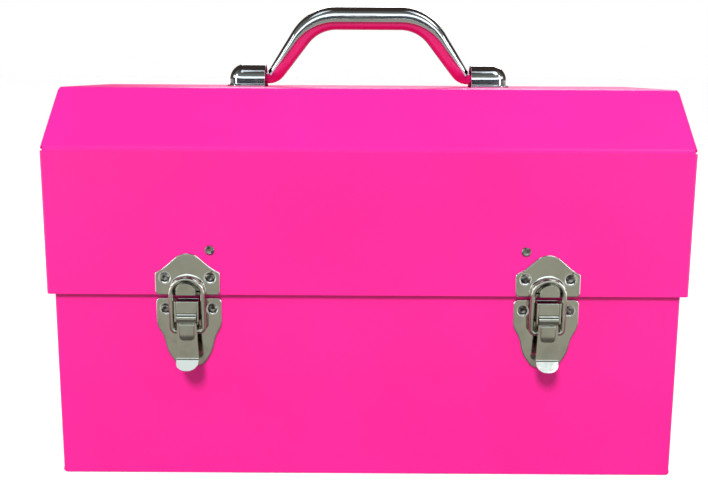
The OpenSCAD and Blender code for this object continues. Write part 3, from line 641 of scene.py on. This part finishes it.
def latchLever(name, node, body, pin, loopPin):
    # the face of the lever as one bent strip round its pin, then a rib and two ears
    bm = bmesh.new()
    half, faceY = lever["half"], pin.y - lever["forward"]

    def arc(vert, cent, turn, steps):
        spun = bmesh.ops.spin(bm, geom=[vert], axis=(1, 0, 0), cent=cent, angle=radians(turn), steps=steps)
        return vertsOf(spun["geom_last"])[0]

    def onward(vert, y, z):
        new = bm.verts.new((-half, y, z))
        bm.edges.new((vert, new))
        return new
    tip = bm.verts.new((-half, pin.y, pin.z - lever["knuckle"]))
    tip = arc(tip, (0, pin.y, pin.z), -270, 14)
    for drop in (lever["shoulder"], lever["waist"], lever["bend"]):
        tip = onward(tip, faceY, pin.z - drop)
    tip = arc(tip, (0, faceY - lever["bendRadius"], pin.z - lever["bend"]), -lever["tabTurn"], 5)
    slope, length = radians(lever["tabTurn"]), lever["tabLength"]
    onward(tip, tip.co.y - length * sin(slope), tip.co.z - length * cos(slope))
    drawEdges(bm, bm.edges[:], (2 * half, 0, 0))
    for vert in bm.verts:
        drop = max(0.0, pin.z - lever["flareFrom"] - vert.co.z) / lever["flareOver"]
        vert.co.x *= 1 + lever["flare"] * min(drop, 1)
    bmesh.ops.remove_doubles(bm, verts=bm.verts, dist=1e-6)
    lowest = min(v.co.z for v in bm.verts)
    bevel(bm, [v for v in bm.verts if v.co.z < lowest + 1e-6], lever["tabRound"], 10, "VERTICES")
    bmesh.ops.recalc_face_normals(bm, faces=bm.faces)
    if sum(f.normal.y for f in bm.faces if f.calc_center_median().z < pin.z - 4 * mm) > 0:
        bmesh.ops.reverse_faces(bm, faces=bm.faces)
    bmesh.ops.solidify(bm, geom=bm.faces[:], thickness=lever["thick"])
    join(bm, leverRib(pin), Matrix.Translation((0, faceY + lever["sunk"], 0)))
    for side in (-1, 1):
        ear = block((lever["earIn"], faceY + 0.4 * mm, loopPin.z - lever["earReach"]),
                    (half, loopPin.y + lever["earReach"], pin.z - 0.5 * mm), lever["earEdge"], 3)
        join(bm, ear, Matrix.Diagonal((side, 1, 1, 1)))
    bmesh.ops.translate(bm, verts=bm.verts, vec=(pin.x, 0, 0))
    return piece(name, bm, nickel, body, [node], edge=lever["edge"], edgeAngle=50)


loop = {
    "wire": 1.5 * mm, "half": 8.7 * mm, "bend": 2.0 * mm, "stub": 0.9, "stubFrom": 4.3 * mm, "step": 0.3 * mm,
}


def latchLoop(name, node, body, loopPin):
    # half of the loop: a thinner stub, bend, leg and a quarter of the arch, then its mirror image
    low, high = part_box(node)
    wire, half, bend, stubX = loop["wire"], loop["half"], loop["bend"], loop["stubFrom"]
    lean = atan((high.y - low.y - 2 * wire) / (high.z - low.z - 2 * wire))
    leg = (high.z - wire - loopPin.z) / cos(lean) - half
    bm = bmesh.new()
    ring = bmesh.ops.create_circle(bm, segments=16, radius=wire * loop["stub"], cap_ends=True)["verts"]
    bmesh.ops.rotate(bm, verts=ring, cent=(0, 0, 0), matrix=Matrix.Rotation(radians(90), 3, "Y"))
    bmesh.ops.translate(bm, verts=ring, vec=(stubX, 0, 0))

    def quarter(edges, cent, steps):
        verts = list({v for e in edges for v in e.verts})
        spun = bmesh.ops.spin(bm, geom=verts + edges, axis=(0, 1, 0), cent=cent, angle=radians(-90),
                              steps=steps)
        return edgesOf(spun["geom_last"])
    end = drawEdges(bm, bm.edges[:], (half - bend - stubX - loop["step"], 0, 0))[0]
    end, verts = drawEdges(bm, end, (loop["step"], 0, 0))
    centre = Vector((half - bend, 0, 0))
    for vert in verts:
        vert.co = centre + (vert.co - centre) / loop["stub"]
    end = quarter(end, (half - bend, 0, bend), 6)
    end = drawEdges(bm, end, (0, 0, leg - bend))[0]
    quarter(end, (0, 0, leg), 12)
    bmesh.ops.mirror(bm, geom=bm.verts[:] + bm.edges[:] + bm.faces[:], axis="X", merge_dist=0.01 * mm)
    bmesh.ops.remove_doubles(bm, verts=bm.verts, dist=0.005 * mm)
    place = Matrix.Translation(loopPin) @ Matrix.Rotation(lean, 4, "X")
    bmesh.ops.transform(bm, verts=bm.verts, matrix=place)
    return piece(name, bm, nickel, body, [node])


def middles(node):
    return [((low.x + high.x) / 2, (low.z + high.z) / 2) for low, high in solidBoxes(node)]


strikeSpots, baseSpots = middles("strike_rivets"), middles("latch_base_rivets")
for side, label in (("left", "Left"), ("right", "Right")):
    pin, loopPin = pivot("lever_" + side + "_pivot"), pivot("loop_" + side + "_pivot")
    strikeHere, baseHere = [[s for s in spots if s[0] * pin.x > 0] for spots in (strikeSpots, baseSpots)]
    strikePlate("strikePlate" + label, "strike_plate_" + side, pin.x, strikeHere)
    latchBase("latchBase" + label, "latch_base_" + side, pin.x, baseHere, pin)
    latchLever("latchLever" + label, "latch_lever_" + side, "lever_" + side, pin, loopPin)
    latchLoop("latchLoop" + label, "latch_loop_" + side, "loop_" + side, loopPin)
    keepNode("lever_pin_" + side, bareMetal)
print("latches built")


# ---- handle ----

grip = {
    "flat": 20 * mm, "shoulder": 32 * mm, "insertShoulder": 22 * mm, "low": 6 * mm, "thick": 1.0 * mm,
    "insertLow": 12 * mm, "sideHeight": 9.6 * mm, "depth": 14 * mm, "sideShoulder": 31.7 * mm,
    "halfWidth": 7 * mm, "footHalf": 4.4 * mm, "edge": 5.4 * mm, "insertHalf": 6.0 * mm, "tongueHalf": 3 * mm,
    "tongueRise": 4.05 * mm, "sideRise": 0.8 * mm, "neck": 2.55 * mm, "taperFrom": 9 * mm, "taperTo": 2 * mm,
    "mouth": 1 * mm, "sheet": 0.85 * mm, "swell": 74, "square": 0.55, "endRadius": 2.75 * mm,
    "endFrom": 17.9 * mm, "endLength": 18.5 * mm, "chamfer": 0.35 * mm,
}
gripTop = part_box("handle_channel")[1].z
swing = pivot("handle_swing")
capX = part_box("handle_cap_right")[0].x


def legAngle(height, run, radius):
    return 2 * atan(height / (run + sqrt(run * run - (2 * radius - height) * height)))


def gripCurve(top, radius, angle, bottom, end, low):
    # half of a curve along the grip: the flat, the shoulder, the leg and the bend into the cap
    flat = grip["flat"]
    x, z = flat + radius * sin(angle), top - radius * (1 - cos(angle))
    cx = x + (z - bottom) / tan(angle) + low * tan(angle / 2)
    points = [(flat * i / 4, top) for i in range(4)]
    bend, foot = [angle * i / 12 for i in range(13)], [angle * (6 - i) / 6 for i in range(7)]
    points += [(flat + radius * sin(t), top - radius * (1 - cos(t))) for t in bend]
    footX, footZ = cx - low * sin(angle), bottom + low * (1 - cos(angle))
    points += [(x + (footX - x) * i / 5, z + (footZ - z) * i / 5) for i in range(1, 5)]
    points += [(cx - low * sin(t), bottom + low * (1 - cos(t))) for t in foot]
    return points + [(end, bottom)]


tongueZ = swing.z + grip["tongueRise"]
neck = grip["neck"]
sideFoot = swing.z + grip["sideRise"]
taperX, sideEnd = capX - grip["taperFrom"], capX - grip["taperTo"]
strapAngle = legAngle(gripTop - tongueZ, capX - 0.8 * mm - grip["flat"], grip["shoulder"])
sideAngle = legAngle(gripTop - grip["sideHeight"] - sideFoot, capX - 2.7 * mm - grip["flat"],
                     grip["sideShoulder"])
insertAngle = legAngle(gripTop - grip["depth"] - swing.z + neck, capX - 7.4 * mm - grip["flat"],
                       grip["insertShoulder"])
capMouth = capX + grip["mouth"]
strapPoints = gripCurve(gripTop, grip["shoulder"], strapAngle, tongueZ, capMouth, grip["low"])
sidePoints = gripCurve(gripTop - grip["sideHeight"], grip["sideShoulder"], sideAngle, sideFoot, capMouth,
                       grip["low"])
insertTop = gripCurve(gripTop - grip["thick"], grip["shoulder"] - grip["thick"], strapAngle,
                      tongueZ - grip["thick"], capMouth, grip["low"] + grip["thick"])
insertLow = gripCurve(gripTop - grip["depth"], grip["insertShoulder"], insertAngle, swing.z - neck, capMouth,
                      grip["insertLow"])


def widthAt(x):
    # half the channel's width, which narrows towards the caps
    narrow = min(max((x - taperX) / (sideEnd - taperX), 0), 1)
    return grip["halfWidth"] + (grip["footHalf"] - grip["halfWidth"]) * narrow


def loft(rings, closed=False):
    # draws the first ring out from one ring to the next
    bm = bmesh.new()
    verts = [bm.verts.new(point) for point in rings[0]]

    def pairs():
        return list(zip(verts, verts[1:])) + ([(verts[-1], verts[0])] if closed else [])
    edges = [bm.edges.new(pair) for pair in pairs()]
    for ring in rings[1:]:
        fresh = set(drawEdges(bm, edges, (0, 0, 0))[1])
        verts = [next(e.other_vert(v) for e in v.link_edges if e.other_vert(v) in fresh) for v in verts]
        edges = [bm.edges.get(pair) for pair in pairs()]
        for vert, point in zip(verts, ring):
            vert.co = point
    return bm


def mirrorAcross(bm):
    bmesh.ops.mirror(bm, geom=bm.verts[:] + bm.edges[:] + bm.faces[:], axis="X", merge_dist=0.01 * mm)
    bmesh.ops.remove_doubles(bm, verts=bm.verts, dist=0.01 * mm)
    bmesh.ops.recalc_face_normals(bm, faces=bm.faces)


def channelRing(top, low):
    # a U that hangs from the top curve: half a width, a round shoulder and the side
    down = Vector((low[0] - top[0], 0, low[1] - top[1]))
    deep, half = down.length, widthAt(top[0])
    down.normalize()
    radius = min(grip["edge"], deep * 0.8, half * 0.8)
    swell = radians(grip["swell"])
    turns = [swell * i / 6 for i in range(7)]
    arc = [(half - radius + radius * sin(t), radius * (1 - cos(t))) for t in turns]
    edge, start = half - radius * (1 - sin(swell)), radius * (1 - cos(swell))
    steps = (0.15, 0.3, 0.5, 0.7, 0.85, 1)
    drop = [(edge + (half - edge) * 4 * k * (1 - k), start + (deep - start) * k) for k in steps]
    points = [Vector((top[0], y, top[1])) + down * d for y, d in arc + drop]
    return [Vector((p.x, -p.y, p.z)) for p in reversed(points)] + points


def handleChannel():
    # half of the channel from its flat to its foot and its mirror image, with a tongue into each cap
    bm = loft([channelRing(top, low) for top, low in zip(strapPoints, sidePoints)
               if top[0] < capX - 0.9 * mm and low[0] < sideEnd + 1 * mm])
    mirrorAcross(bm)
    if sum(f.normal.z * f.calc_area() for f in bm.faces) < 0:
        bmesh.ops.reverse_faces(bm, faces=bm.faces)
    bmesh.ops.solidify(bm, geom=bm.faces[:], thickness=grip["sheet"])
    half = grip["tongueHalf"]
    for side in (-1, 1):
        tongue = block((sideEnd - 2.5 * mm, -half, tongueZ - grip["thick"]),
                       (capX + 5 * mm, half, tongueZ), 0.3 * mm)
        join(bm, tongue, Matrix.Diagonal((side, 1, 1, 1)))
    return piece("handleChannel", bm, chrome, "handle", ["handle_channel"], edge=0.25 * mm, edgeSteps=3,
                 edgeAngle=60)


def insertRing(top, low):
    # a rounded oblong between the top and low curves, narrower near the pivot
    middle = Vector((top[0] + low[0], 0, top[1] + low[1])) / 2
    down = Vector((low[0] - top[0], 0, low[1] - top[1]))
    deep, points, square = down.length / 2, [], grip["square"]
    down.normalize()
    for t in [radians(15 * i) for i in range(24)]:
        y, d = cos(t), sin(t)
        y, d = abs(y) ** square * (1 if y > 0 else -1), abs(d) ** square * (1 if d > 0 else -1)
        place = middle + down * deep * d
        rise = min(max((place.z - swing.z) / (5.5 * mm), 0), 1)
        half = min(neck + (grip["insertHalf"] - neck) * rise, widthAt(place.x) - 1.1 * mm)
        points.append(Vector((place.x, half * y, place.z)))
    return points


def handleInsert():
    bm = loft([insertRing(t, l) for t, l in zip(insertTop, insertLow)], closed=True)
    ends = [e for e in bm.edges if e.is_boundary and all(v.co.x > 1 * mm for v in e.verts)]
    bmesh.ops.holes_fill(bm, edges=ends, sides=0)
    mirrorAcross(bm)
    for side in (-1, 1):
        radius, length, chamfer = grip["endRadius"], grip["endLength"], grip["chamfer"]
        end = turned([(0, 0), (radius - chamfer, 0), (radius, chamfer), (radius, length), (0, length)], 24)
        facing = Matrix.Rotation(radians(-90 * side), 4, "Y")
        join(bm, end, Matrix.Translation((side * (capX + grip["endFrom"]), 0, swing.z)) @ facing)
    return piece("handleInsert", bm, gripPlastic, "handle", ["handle_insert"])


cap = {
    "length": 22.7 * mm, "foot": 0.9 * mm, "flange": 1.9 * mm, "fillet": 0.8 * mm, "thick": 0.9 * mm,
    "edge": 0.2 * mm, "weld": 0.005 * mm,
}


def handleCap(name, node, side):
    # half a dome of revolution about the pivot, drawn down to the roof and flared into a flange
    low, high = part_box(node)
    radius = high.z - swing.z
    domeX = capX + cap["length"] - radius
    bm = bmesh.new()
    start = bm.verts.new((capX, -radius, swing.z))
    second = bm.verts.new((domeX, -radius, swing.z))
    bm.edges.new((start, second))
    bmesh.ops.spin(bm, geom=[second], axis=(0, 0, 1), cent=(domeX, 0, swing.z), angle=radians(90), steps=10)
    bmesh.ops.spin(bm, geom=bm.verts[:] + bm.edges[:], axis=(-1, 0, 0), cent=(0, 0, swing.z), angle=pi,
                   steps=24)
    bmesh.ops.remove_doubles(bm, verts=bm.verts, dist=cap["weld"])
    rim = [e for e in bm.edges if e.is_boundary and all(abs(v.co.z - swing.z) < 1e-6 for v in e.verts)]
    rim, lower = drawEdges(bm, rim, (0, 0, low.z + cap["foot"] - swing.z))
    rim = [e for e in rim if all(v in lower for v in e.verts)]
    for vert in drawEdges(bm, rim, (0, 0, 0))[1]:
        away = Vector((max(vert.co.x - domeX, 0), vert.co.y, 0)).normalized()
        vert.co += away * cap["flange"]
    bmesh.ops.remove_doubles(bm, verts=bm.verts, dist=cap["weld"])
    bmesh.ops.recalc_face_normals(bm, faces=bm.faces)
    if sum(f.normal.z * f.calc_area() for f in bm.faces) < 0:
        bmesh.ops.reverse_faces(bm, faces=bm.faces)
    fillet = [e for e in bm.edges if len(e.link_faces) == 2 and e.calc_face_angle(0) > radians(50)]
    bevel(bm, fillet, cap["fillet"], 4)
    bmesh.ops.solidify(bm, geom=bm.faces[:], thickness=cap["thick"])
    bmesh.ops.transform(bm, verts=bm.verts, matrix=Matrix.Diagonal((side, 1, 1, 1)))
    return piece(name, bm, chrome, "lid", [node], edge=cap["edge"], edgeAngle=60)


handleChannel()
handleInsert()
handleCap("handleCapLeft", "handle_cap_left", -1)
handleCap("handleCapRight", "handle_cap_right", 1)
keepNode("handle_cap_rivets", bareMetal)
print("handle built")


# ---- hinge and bails ----

for nodeName in ("hinge_leaf_body", "hinge_leaf_lid"):
    keepNode(nodeName, nickel, 0.15 * mm)
keepNode("hinge_pin", bareMetal)


# outlines as radius and height in mm, from the lid's outer and inner face
stud = {
    "outside": [(0, 0.2), (0.9, 0.22), (1.7, 0.5), (2.2, 0.6), (2.55, 0.4), (2.65, 0.1), (2.6, 0)],
    "shank": 1.6 * mm,
    "inside": [(1.6, 0), (2.2, 0), (2.2, -3.6), (3.6, -3.6), (3.8, -3.8), (3.7, -4.3), (0, -4.4)],
}


def bailStuds():
    # flat dished heads outside the lid, with the shouldered stud that each bail turns on inside it
    points = [(r * mm, h * mm) for r, h in stud["outside"]] + [(stud["shank"], 0)]
    points += [(r * mm, h * mm - shell["thick"]) for r, h in stud["inside"]]
    bm = bmesh.new()
    for low, high in solidBoxes("bail_studs"):
        middle = (low + high) / 2
        facing = 1 if middle.y > 0 else -1
        place = Matrix.Translation((middle.x, facing * lidHigh.y, middle.z))
        join(bm, turned(points), place @ Matrix.Rotation(radians(-90 * facing), 4, "X"))
    return piece("bailStuds", bm, bareMetal, "lid", ["bail_studs"])


bailStuds()
for nodeName in ("bottle_bail_left", "bottle_bail_right"):
    keepNode(nodeName, steelWire)
print("hinge and bails finished")


# ---- stage ----

stage = {
    "floorHalf": 30.0, "glow": 0.07, "sunTurn": (radians(45), 0, radians(-13)), "sunSpread": radians(18),
    "sunPower": 3.3,
    "back": (1.0, 1.0, 1.0, 1), "fill": (0.28, 0.28, 0.28, 1), "table": (0.30, 0.30, 0.30, 1),
    # the floor as only polished metal sees it: painted shade near the box, a painted duller reflection
    # further out, a painted highlight far to the sides
    "mirrorNearPaintedShade": (0.045, 0.045, 0.04, 1), "mirrorFarPaintedReflection": (0.30, 0.30, 0.25, 1),
    "mirrorSidePaintedHighlight": (0.95, 1.0, 1.0, 1),
    "front": [(0.0, (0.05, 0.055, 0.06, 1)), (1.0, (0.055, 0.04, 0.035, 1)), (0.13, (0.07, 0.08, 0.10, 1)),
              (0.20, (2.6, 2.8, 3.0, 1)), (0.29, (2.2, 2.4, 2.5, 1)), (0.37, (0.26, 0.29, 0.28, 1)),
              (0.70, (0.15, 0.155, 0.14, 1)), (0.90, (0.055, 0.04, 0.035, 1))],
    "behind": [(0.0, (0.35, 0.32, 0.30, 1)), (1.0, (0.055, 0.04, 0.035, 1)), (0.06, (0.11, 0.08, 0.065, 1)),
               (0.50, (0.05, 0.035, 0.03, 1))],
    # place, aim, size, watts and colour
    "overheadLeft": ((-0.34, -0.43, 1.09), (-0.1, -0.09, 0.07), (0.30, 0.34), 0.42, (0.90, 1.0, 1.12)),
    "stripLeft": ((-1.3, -0.5, 0.5), (0, 0, 0.15), (0.16, 1.0), 3.0, (1, 1, 1)),
    "overheadRight": ((0.34, -0.43, 1.09), (0.1, -0.09, 0.07), (0.30, 0.34), 0.42, (0.90, 1.0, 1.12)),
    "stripRight": ((1.3, -0.5, 0.5), (0, 0, 0.15), (0.16, 1.0), 3.0, (1, 1, 1)),
    "rear": ((0.2, 1.5, 1.1), (0, 0, 0.1), (1.4, 0.7), 15, (1, 1, 1)),
    "keyRight": ((0.62, -0.5, 1.1), (0.05, -0.09, 0.12), (0.45, 0.45), 1.5, (1, 1, 1)),
}


def floor():
    # pale and plain; it throws little light back, and polished metal shows a painted reflection of it: a
    # duller table, with painted shade dark close to the box and a painted bright reflection far out on either
    # side
    bm = bmesh.new()
    bmesh.ops.create_grid(bm, x_segments=1, y_segments=1, size=stage["floorHalf"])
    mesh = bpy.data.meshes.new("floor")
    bm.to_mesh(mesh)
    bm.free()
    made = bpy.data.objects.new("floor", mesh)
    bpy.context.scene.collection.objects.link(made)
    made.location.z = -0.0002
    finish = Finish("paleFloor", {"Specular IOR Level": 0.2, "Emission Color": (1, 1, 1, 1),
                                   "Emission Strength": stage["glow"]})
    path = finish.tree.nodes.new("ShaderNodeLightPath")
    soft = finish.noise(3, 2)
    colour = finish.mixColour(soft, (0.95, 0.95, 0.95, 1), (0.98, 0.98, 0.98, 1))
    x, y = finish.along(0), finish.along(1)
    # painted reflection of the floor: painted shade close to the box, a duller grey further out, a painted
    # highlight far to either side
    mirrored = finish.mixColour(finish.ramp(0 - y, 0.20, 0.31), stage["mirrorNearPaintedShade"], stage["mirrorFarPaintedReflection"])
    mirrored = finish.mixColour(finish.ramp(x * x, 0.12, 0.30), mirrored, stage["mirrorSidePaintedHighlight"])
    mirrored = finish.mixColour(Wire(finish, path.outputs["Is Glossy Ray"]), stage["table"], mirrored)
    colour = finish.mixColour(Wire(finish, path.outputs["Is Camera Ray"]), mirrored, colour)
    mesh.materials.append(finish.feed(colour=colour, roughness=0.8))


def areaLight(name):
    place, aim, size, watts, colour = stage[name]
    light = bpy.data.lights.new(name, "AREA")
    light.shape, light.size, light.size_y = "RECTANGLE", size[0], size[1]
    light.energy, light.color = watts, colour
    made = bpy.data.objects.new(name, light)
    made.location = place
    made.rotation_euler = (Vector(aim) - Vector(place)).to_track_quat("-Z", "Y").to_euler()
    bpy.context.scene.collection.objects.link(made)


def sky():
    # the camera sees plain white; the box is lit by a room with a pale band low in front of it,
    # dim brown behind, and mirrors a dark ceiling
    world = bpy.data.worlds.new("studio")
    bpy.context.scene.world = world
    world.use_nodes = True
    tree = world.node_tree
    back = tree.nodes["Background"]
    place = tree.nodes.new("ShaderNodeTexCoord")
    split = tree.nodes.new("ShaderNodeSeparateXYZ")
    path = tree.nodes.new("ShaderNodeLightPath")

    def heights(stops):
        room = tree.nodes.new("ShaderNodeValToRGB")
        for spot, (position, colour) in enumerate(stops):
            stop = room.color_ramp.elements[spot] if spot < 2 else room.color_ramp.elements.new(position)
            stop.position, stop.color = position, colour
        tree.links.new(split.outputs["Z"], room.inputs[0])
        return room.outputs[0]

    def blend(factor, first, second):
        mix = tree.nodes.new("ShaderNodeMix")
        mix.data_type = "RGBA"
        tree.links.new(factor, mix.inputs[0])
        tree.links.new(first, mix.inputs[6])
        tree.links.new(second, mix.inputs[7])
        return mix.outputs[2]
    plain, fill = tree.nodes.new("ShaderNodeRGB"), tree.nodes.new("ShaderNodeRGB")
    plain.outputs[0].default_value, fill.outputs[0].default_value = stage["back"], stage["fill"]
    side = tree.nodes.new("ShaderNodeMapRange")
    side.inputs["From Min"].default_value, side.inputs["From Max"].default_value = -0.05, 0.25
    tree.links.new(place.outputs["Generated"], split.inputs[0])
    tree.links.new(split.outputs["Y"], side.inputs[0])
    mirrored = blend(side.outputs[0], heights(stage["front"]), heights(stage["behind"]))
    soft = blend(path.outputs["Is Glossy Ray"], fill.outputs[0], mirrored)
    tree.links.new(blend(path.outputs["Is Camera Ray"], soft, plain.outputs[0]), back.inputs[0])


def sun():
    light = bpy.data.lights.new("sun", "SUN")
    light.energy, light.angle = stage["sunPower"], stage["sunSpread"]
    made = bpy.data.objects.new("sun", light)
    made.rotation_euler = stage["sunTurn"]
    made.visible_glossy = False
    bpy.context.scene.collection.objects.link(made)


# lens in mm, shift in sensor widths, place in metres from the middle of the base, turns in degrees
view = {
    "sensor": 36, "lens": 45.46, "shift": (-0.0100, -0.0304), "place": (-0.0035, -0.5704, 0.2287),
    "pan": 0.04, "tilt": 9.8, "roll": -0.32,
}


def camera():
    data = bpy.data.cameras.new("camera")
    made = bpy.data.objects.new("camera", data)
    bpy.context.scene.collection.objects.link(made)
    data.sensor_width, data.lens = view["sensor"], view["lens"]
    data.shift_x, data.shift_y = view["shift"]
    pan, tilt, roll = radians(view["pan"]), radians(view["tilt"]), radians(view["roll"])
    made.matrix_world = (Matrix.Translation(view["place"]) @ Matrix.Rotation(pan, 4, "Z")
                         @ Matrix.Rotation(-tilt, 4, "X") @ Matrix.Rotation(roll, 4, "Y")
                         @ Matrix.Rotation(radians(90), 4, "X"))
    bpy.context.scene.camera = made


floor()
sky()
sun()
for name in ("overheadLeft", "stripLeft", "overheadRight", "stripRight", "rear", "keyRight"):
    areaLight(name)
camera()
bpy.context.scene.view_settings.view_transform = "Standard"
print("stage set")
